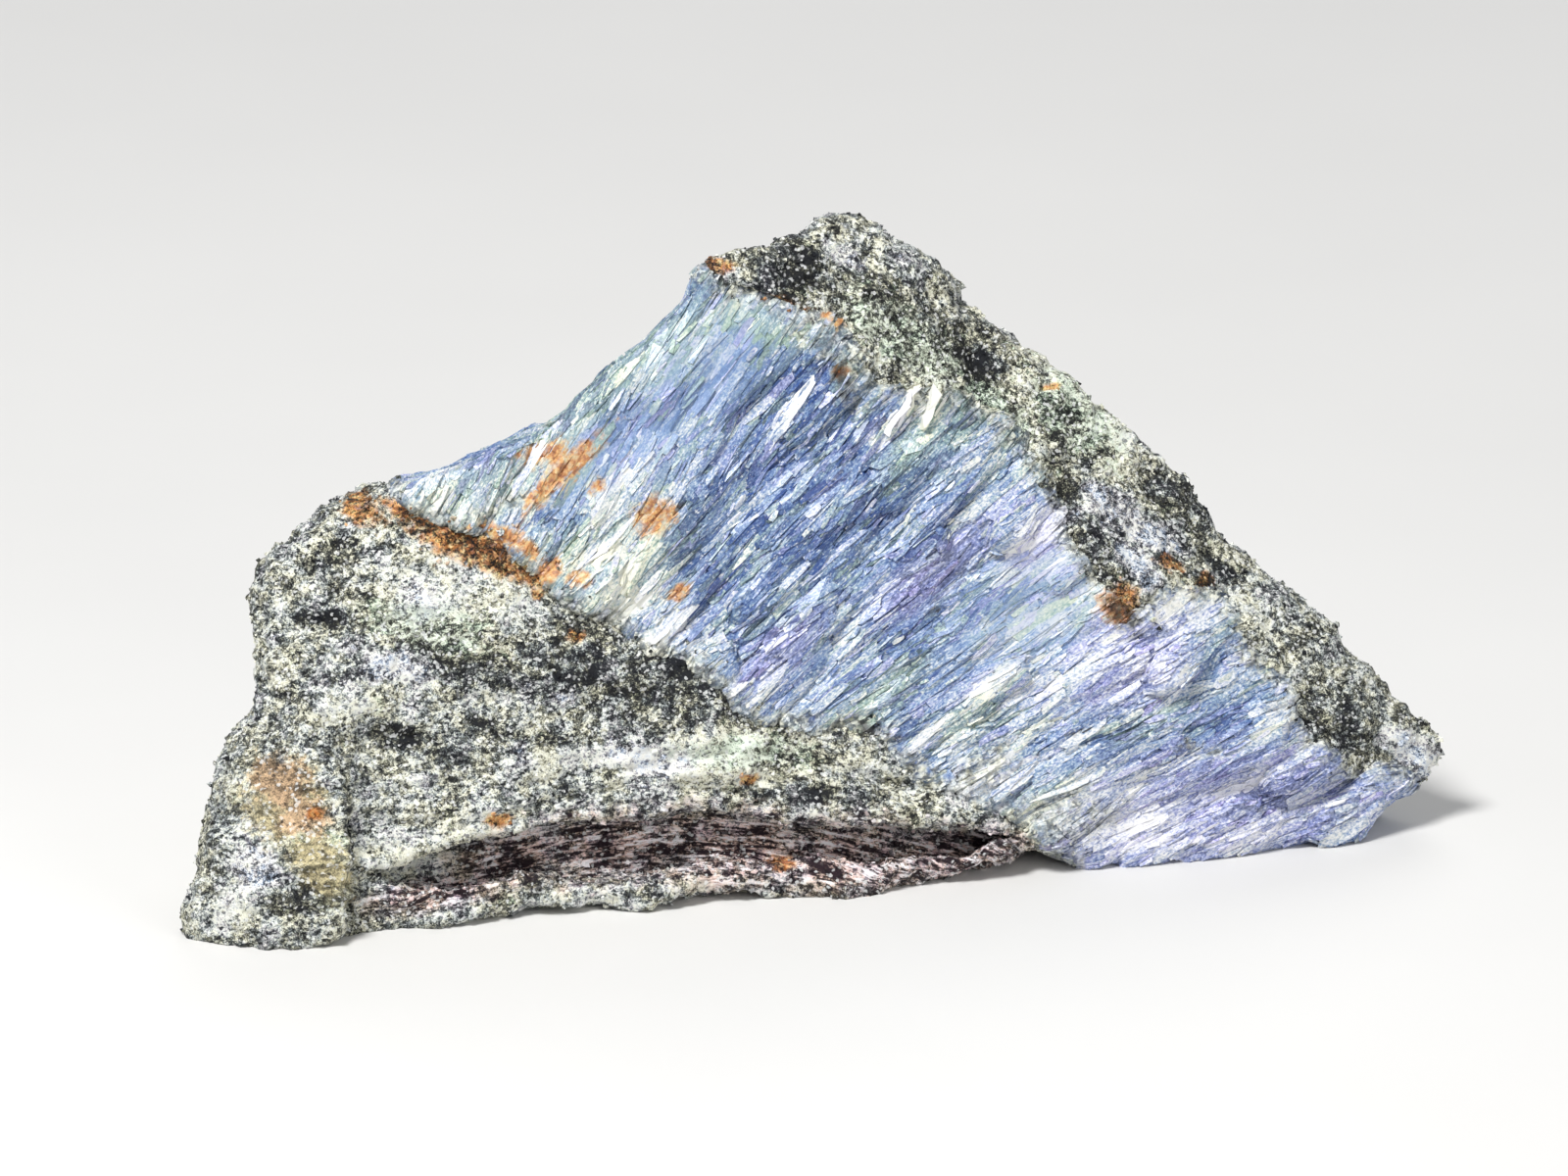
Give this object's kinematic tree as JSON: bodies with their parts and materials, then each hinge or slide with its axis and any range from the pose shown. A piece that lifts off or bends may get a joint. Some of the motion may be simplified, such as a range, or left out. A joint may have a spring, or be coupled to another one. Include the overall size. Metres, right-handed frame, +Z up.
{
  "type": "kyanite blade cluster",
  "caption": "Wedge-shaped hand specimen: a vein of blue kyanite blades between two walls of grey gneiss, standing on a flat broken base for display.",
  "frame": {"origin": "middle of the bounding box on the flat broken base", "axes": "+Z up from the base, +X along the specimen towards its thin right tip, -Y towards the viewer of the bladed display side"},
  "size_m": [0.1204, 0.0486, 0.0603],
  "materials": {
    "gneiss": "rough, broken, speckled grey-green and white grains with dark mica and rust stains",
    "kyanite": "bladed, pale to deep blue, with a glassy to pearly lustre on the cleavage faces"
  },
  "bodies": {
    "root": {"lower_gneiss": "gneiss", "upper_gneiss": "gneiss", "kyanite_blades": "kyanite"}
  },
  "joints": []
}
